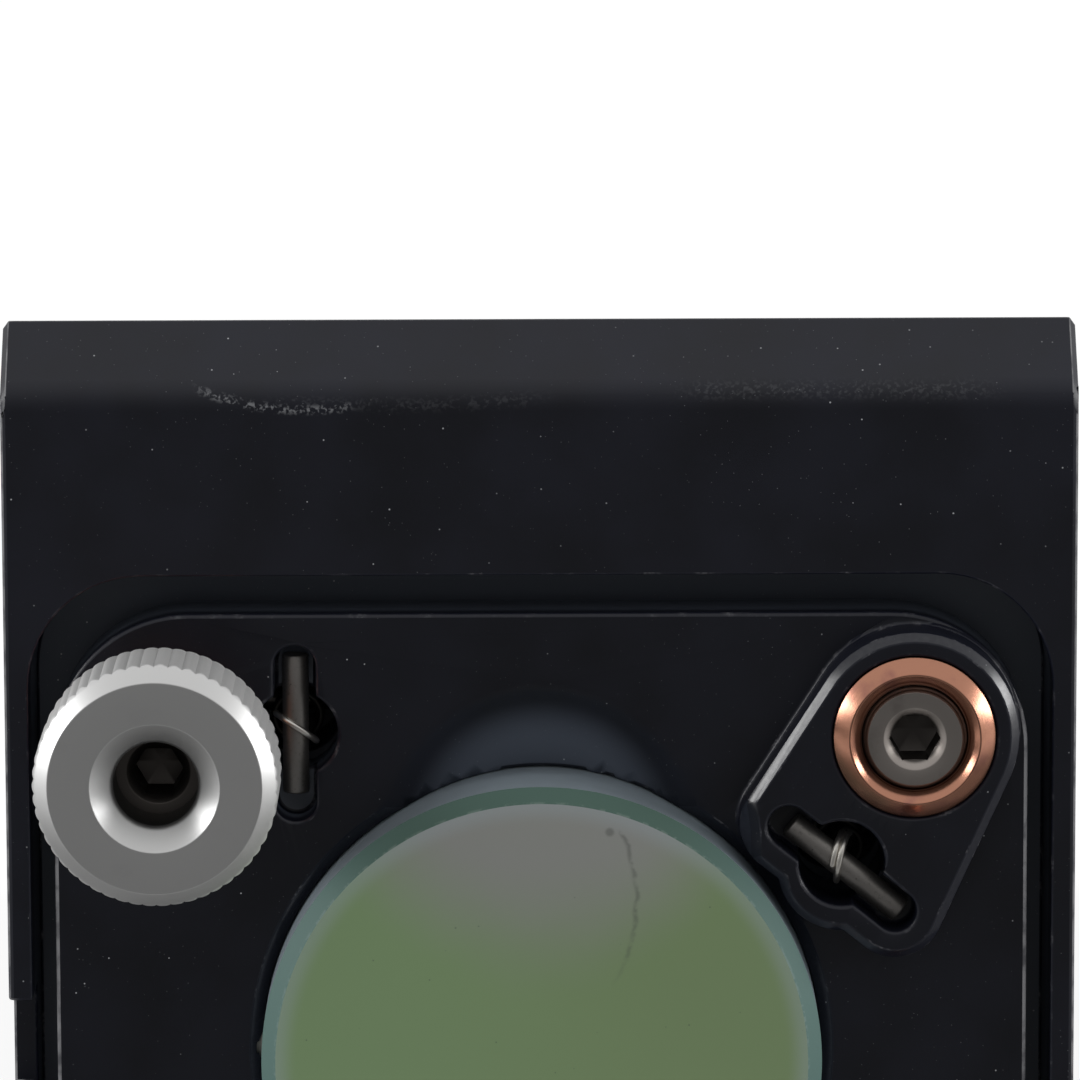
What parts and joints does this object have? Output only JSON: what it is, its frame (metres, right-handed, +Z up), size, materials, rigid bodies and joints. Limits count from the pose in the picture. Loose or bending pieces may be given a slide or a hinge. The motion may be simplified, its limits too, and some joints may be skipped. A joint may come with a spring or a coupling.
{
  "type": "kinematic mirror mount",
  "caption": "Right-angle kinematic mount that holds a round mirror at 45 degrees between two ports of a 30 mm cage system and tilts it with fine-thread knobs.",
  "frame": {"origin": "middle of the lower port in the face on which the mount stands", "axes": "+Z up through the lower port, +Y out of the rear port, +X across, so that the mirror's face looks down and back at 45 degrees"},
  "size_m": [0.0486, 0.049, 0.049],
  "materials": {
    "black_anodised": "bead blasted and black anodised",
    "black_anodised_plate": "black anodised",
    "mirror_glass": "polished glass with a dielectric coating behind it",
    "bronze": "turned phosphor bronze",
    "adjuster_steel": "dark passivated stainless steel",
    "polished_steel": "ground and polished hardened steel",
    "spring_steel": "bright drawn wire",
    "pin_steel": "ground dowel pin",
    "satin_aluminium": "clear anodised, satin, knurled",
    "black_steel": "black oxide",
    "nylon": "natural nylon"
  },
  "bodies": {
    "housing": {"housing": "black_anodised", "vee_seat": "polished_steel", "flat_seat": "polished_steel", "cone_seat": "polished_steel", "inner_pin_left": "pin_steel", "inner_pin_lower": "pin_steel", "inner_pin_pivot": "pin_steel"},
    "pivot_ball": {"ball_pivot": "polished_steel"},
    "mirror_plate": {"kinematic_plate": "black_anodised_plate", "mirror": "mirror_glass", "mirror_setscrew": "black_steel", "mirror_setscrew_tip": "nylon", "bushing_left": "bronze", "bushing_lower": "bronze", "bushing_pivot": "bronze", "spring_left": "spring_steel", "spring_lower": "spring_steel", "spring_pivot": "spring_steel", "outer_pin_left": "pin_steel", "outer_pin_lower": "pin_steel", "outer_pin_pivot": "pin_steel"},
    "left_ball": {"ball_left": "polished_steel"},
    "left_adjuster": {"screw_left": "adjuster_steel", "knob_left": "satin_aluminium"},
    "lower_ball": {"ball_lower": "polished_steel"},
    "lower_adjuster": {"screw_lower": "adjuster_steel", "knob_lower": "satin_aluminium"},
    "pivot_adjuster": {"screw_pivot": "adjuster_steel"}
  },
  "joints": [
    {"name": "yaw", "type": "hinge", "parent": "housing", "child": "pivot_ball", "pos_m": [0.01685, 0.01153, 0.03298], "axis": [0, 0.7071, 0.7071], "range_deg": [-1.8, 1.8]},
    {"name": "pitch", "type": "hinge", "parent": "pivot_ball", "child": "mirror_plate", "pos_m": [0.01685, 0.01153, 0.03298], "axis": [1, 0, 0], "range_deg": [-1.8, 1.8], "deforming": ["spring_left", "spring_lower", "spring_pivot"]},
    {"name": "left_screw_travel", "type": "slide", "parent": "mirror_plate", "child": "left_ball", "axis": [0, -0.7071, 0.7071], "range_m": [-0.00106, 0.00106]},
    {"name": "left_knob_turn", "type": "hinge", "parent": "left_ball", "child": "left_adjuster", "pos_m": [-0.01685, 0.01153, 0.03298], "axis": [0, -0.7071, 0.7071], "range_deg": [-1500, 1500]},
    {"name": "lower_screw_travel", "type": "slide", "parent": "mirror_plate", "child": "lower_ball", "axis": [0, -0.7071, 0.7071], "range_m": [-0.00093, 0.00093]},
    {"name": "lower_knob_turn", "type": "hinge", "parent": "lower_ball", "child": "lower_adjuster", "pos_m": [0.01685, -0.00948, 0.01197], "axis": [0, -0.7071, 0.7071], "range_deg": [-1320, 1320]},
    {"name": "pivot_screw_turn", "type": "hinge", "parent": "mirror_plate", "child": "pivot_adjuster", "pos_m": [0.01685, 0.01153, 0.03298], "axis": [0, -0.7071, 0.7071], "range_deg": [-180, 180]}
  ],
  "couplings": [
    {"joint": "left_knob_turn", "follows": "left_screw_travel", "rad_per_m": 24737},
    {"joint": "yaw", "follows": "left_screw_travel", "rad_per_m": -29.674},
    {"joint": "lower_knob_turn", "follows": "lower_screw_travel", "rad_per_m": 24737},
    {"joint": "pitch", "follows": "lower_screw_travel", "rad_per_m": 33.67}
  ]
}
